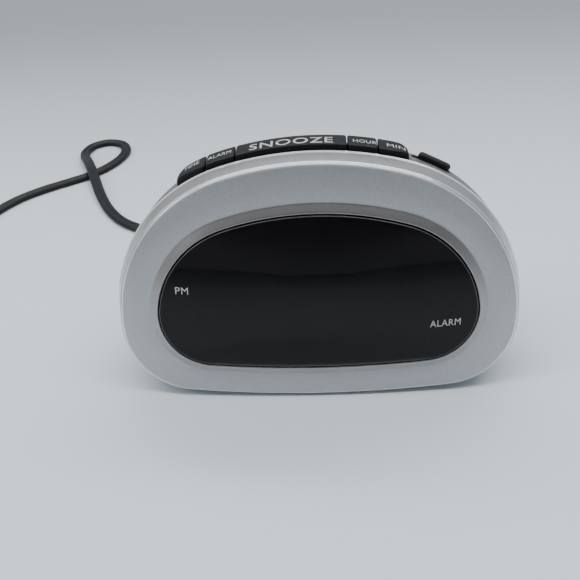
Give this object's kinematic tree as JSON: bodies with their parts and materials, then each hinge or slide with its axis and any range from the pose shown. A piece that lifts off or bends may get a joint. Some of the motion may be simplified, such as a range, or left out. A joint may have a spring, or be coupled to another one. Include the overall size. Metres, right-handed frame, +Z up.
{
  "type": "digital alarm clock",
  "caption": "Mains-powered digital alarm clock with a wide rounded silver face, a domed smoked display window, black keys along its top, an alarm slide switch and a flat black power cord.",
  "frame": {"origin": "middle of the clock's footprint, on the surface its feet stand on, cord left out", "axes": "+X to the right of someone facing the clock, +Y towards its back, +Z up"},
  "size_m": [0.313, 0.2297, 0.0883],
  "materials": {
    "silver_paint": "moulded plastic under satin metallic silver paint",
    "smoked_lens": "polished, nearly opaque smoked acrylic",
    "button_black": "fine moulded satin black",
    "foot_rubber": "matte",
    "circuit_board": "phenolic board under green resist",
    "component_black": "moulded component cases",
    "switch_actuator": "natural nylon",
    "steel": "zinc plated",
    "red_filter": "clear red film",
    "winding_tape": "enamelled copper under yellow tape",
    "ribbon_grey": "grey insulation",
    "cord_black": "satin vinyl",
    "blade_brass": "stamped and nickel flashed"
  },
  "bodies": {
    "housing": {"alarm_switch": "component_black", "backup_battery": "component_black", "battery_snap": "component_black", "board_screw_left": "steel", "board_screw_right": "steel", "buzzer": "component_black", "case_screw_left": "steel", "case_screw_right": "steel", "clock_chip": "component_black", "coil_tie": "cord_black", "cord_coil": "cord_black", "cord_tail": "cord_black", "display_filter": "red_filter", "display_lens": "smoked_lens", "foot_front_left": "foot_rubber", "foot_front_right": "foot_rubber", "foot_rear_left": "foot_rubber", "foot_rear_right": "foot_rubber", "front_bezel": "silver_paint", "hour_switch": "component_black", "key_board": "circuit_board", "led_display": "component_black", "main_board": "circuit_board", "main_case": "silver_paint", "minute_switch": "component_black", "plug_blade_left": "blade_brass", "plug_blade_right": "blade_brass", "plug_body": "cord_black", "power_cord": "cord_black", "rear_cover": "silver_paint", "ribbon_cable": "ribbon_grey", "slide_switch_body": "component_black", "smoothing_capacitor": "steel", "snooze_switch": "component_black", "strain_relief": "cord_black", "time_switch": "component_black", "transformer_core": "steel", "transformer_winding": "winding_tape"},
    "time_key": {"time_button": "button_black", "time_plunger": "switch_actuator"},
    "alarm_key": {"alarm_button": "button_black", "alarm_plunger": "switch_actuator"},
    "snooze_key": {"snooze_button": "button_black", "snooze_plunger": "switch_actuator"},
    "hour_key": {"hour_button": "button_black", "hour_plunger": "switch_actuator"},
    "minute_key": {"minute_button": "button_black", "minute_plunger": "switch_actuator"},
    "alarm_slider": {"alarm_slider_knob": "button_black"},
    "battery_cover": {"battery_door": "silver_paint"}
  },
  "joints": [
    {"name": "time_press", "type": "slide", "parent": "housing", "child": "time_key", "axis": [0, 0, -1], "range_m": [0, 0.0008], "stiffness_N_per_m": 1200, "springref_m": -0.0004},
    {"name": "alarm_press", "type": "slide", "parent": "housing", "child": "alarm_key", "axis": [0, 0, -1], "range_m": [0, 0.0008], "stiffness_N_per_m": 1200, "springref_m": -0.0004},
    {"name": "snooze_press", "type": "slide", "parent": "housing", "child": "snooze_key", "axis": [0, 0, -1], "range_m": [0, 0.0008], "stiffness_N_per_m": 1200, "springref_m": -0.0004},
    {"name": "hour_press", "type": "slide", "parent": "housing", "child": "hour_key", "axis": [0, 0, -1], "range_m": [0, 0.0008], "stiffness_N_per_m": 1200, "springref_m": -0.0004},
    {"name": "minute_press", "type": "slide", "parent": "housing", "child": "minute_key", "axis": [0, 0, -1], "range_m": [0, 0.0008], "stiffness_N_per_m": 1200, "springref_m": -0.0004},
    {"name": "alarm_slide", "type": "slide", "parent": "housing", "child": "alarm_slider", "axis": [-0.8897, 0, 0.4565], "range_m": [0, 0.002]},
    {"name": "battery_door_slide", "type": "slide", "parent": "housing", "child": "battery_cover", "axis": [0, 1, 0], "range_m": [0, 0.025]}
  ]
}
